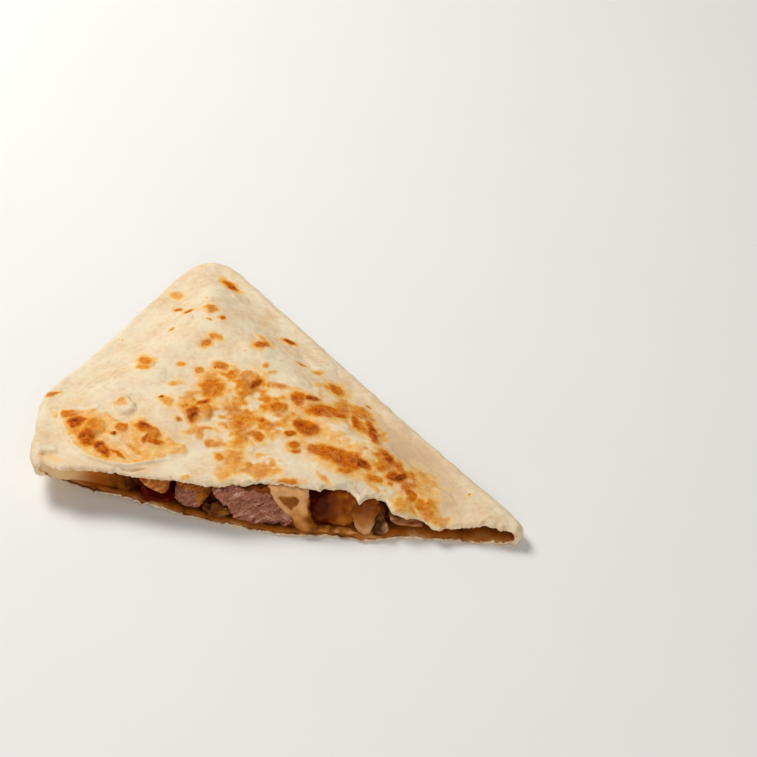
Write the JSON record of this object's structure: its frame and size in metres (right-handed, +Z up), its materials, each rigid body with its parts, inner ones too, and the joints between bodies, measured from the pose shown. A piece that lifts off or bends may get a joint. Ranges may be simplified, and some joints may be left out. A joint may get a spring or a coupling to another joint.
{
  "type": "quesadilla wedge",
  "caption": "Triangular wedge of a grilled quesadilla: a folded flour tortilla with toasted blisters, cut open along one side over meat, melted cheese, pepper and onion.",
  "frame": {"origin": "centre of the bounding box in plan, on the surface the wedge lies on", "axes": "+X along the cut side towards the sharp right tip, +Y from the cut side to the folded back, +Z up"},
  "size_m": [0.1793, 0.1425, 0.0197],
  "materials": {
    "flatbread": "dry toasted flour dough with browned blisters",
    "cheese": "melted, satin gloss",
    "meat": "moist cooked meat, fibrous",
    "chicken": "moist cooked chicken, smooth",
    "pepper": "glossy cooked pepper",
    "onion": "soft translucent cooked onion",
    "roast": "browned roast crust, moist",
    "glazed_onion": "glossy caramelised onion",
    "ham": "thin moist slice"
  },
  "bodies": {
    "root": {"tortilla": "flatbread", "melted_cheese": "cheese", "onion_bit": "onion", "meat_large": "meat", "meat_small": "meat", "chicken_strip": "chicken", "pepper_strip": "pepper", "roast_chunk": "roast", "amber_onion": "glazed_onion", "onion_strings": "onion", "ham_strip": "ham"}
  },
  "joints": []
}
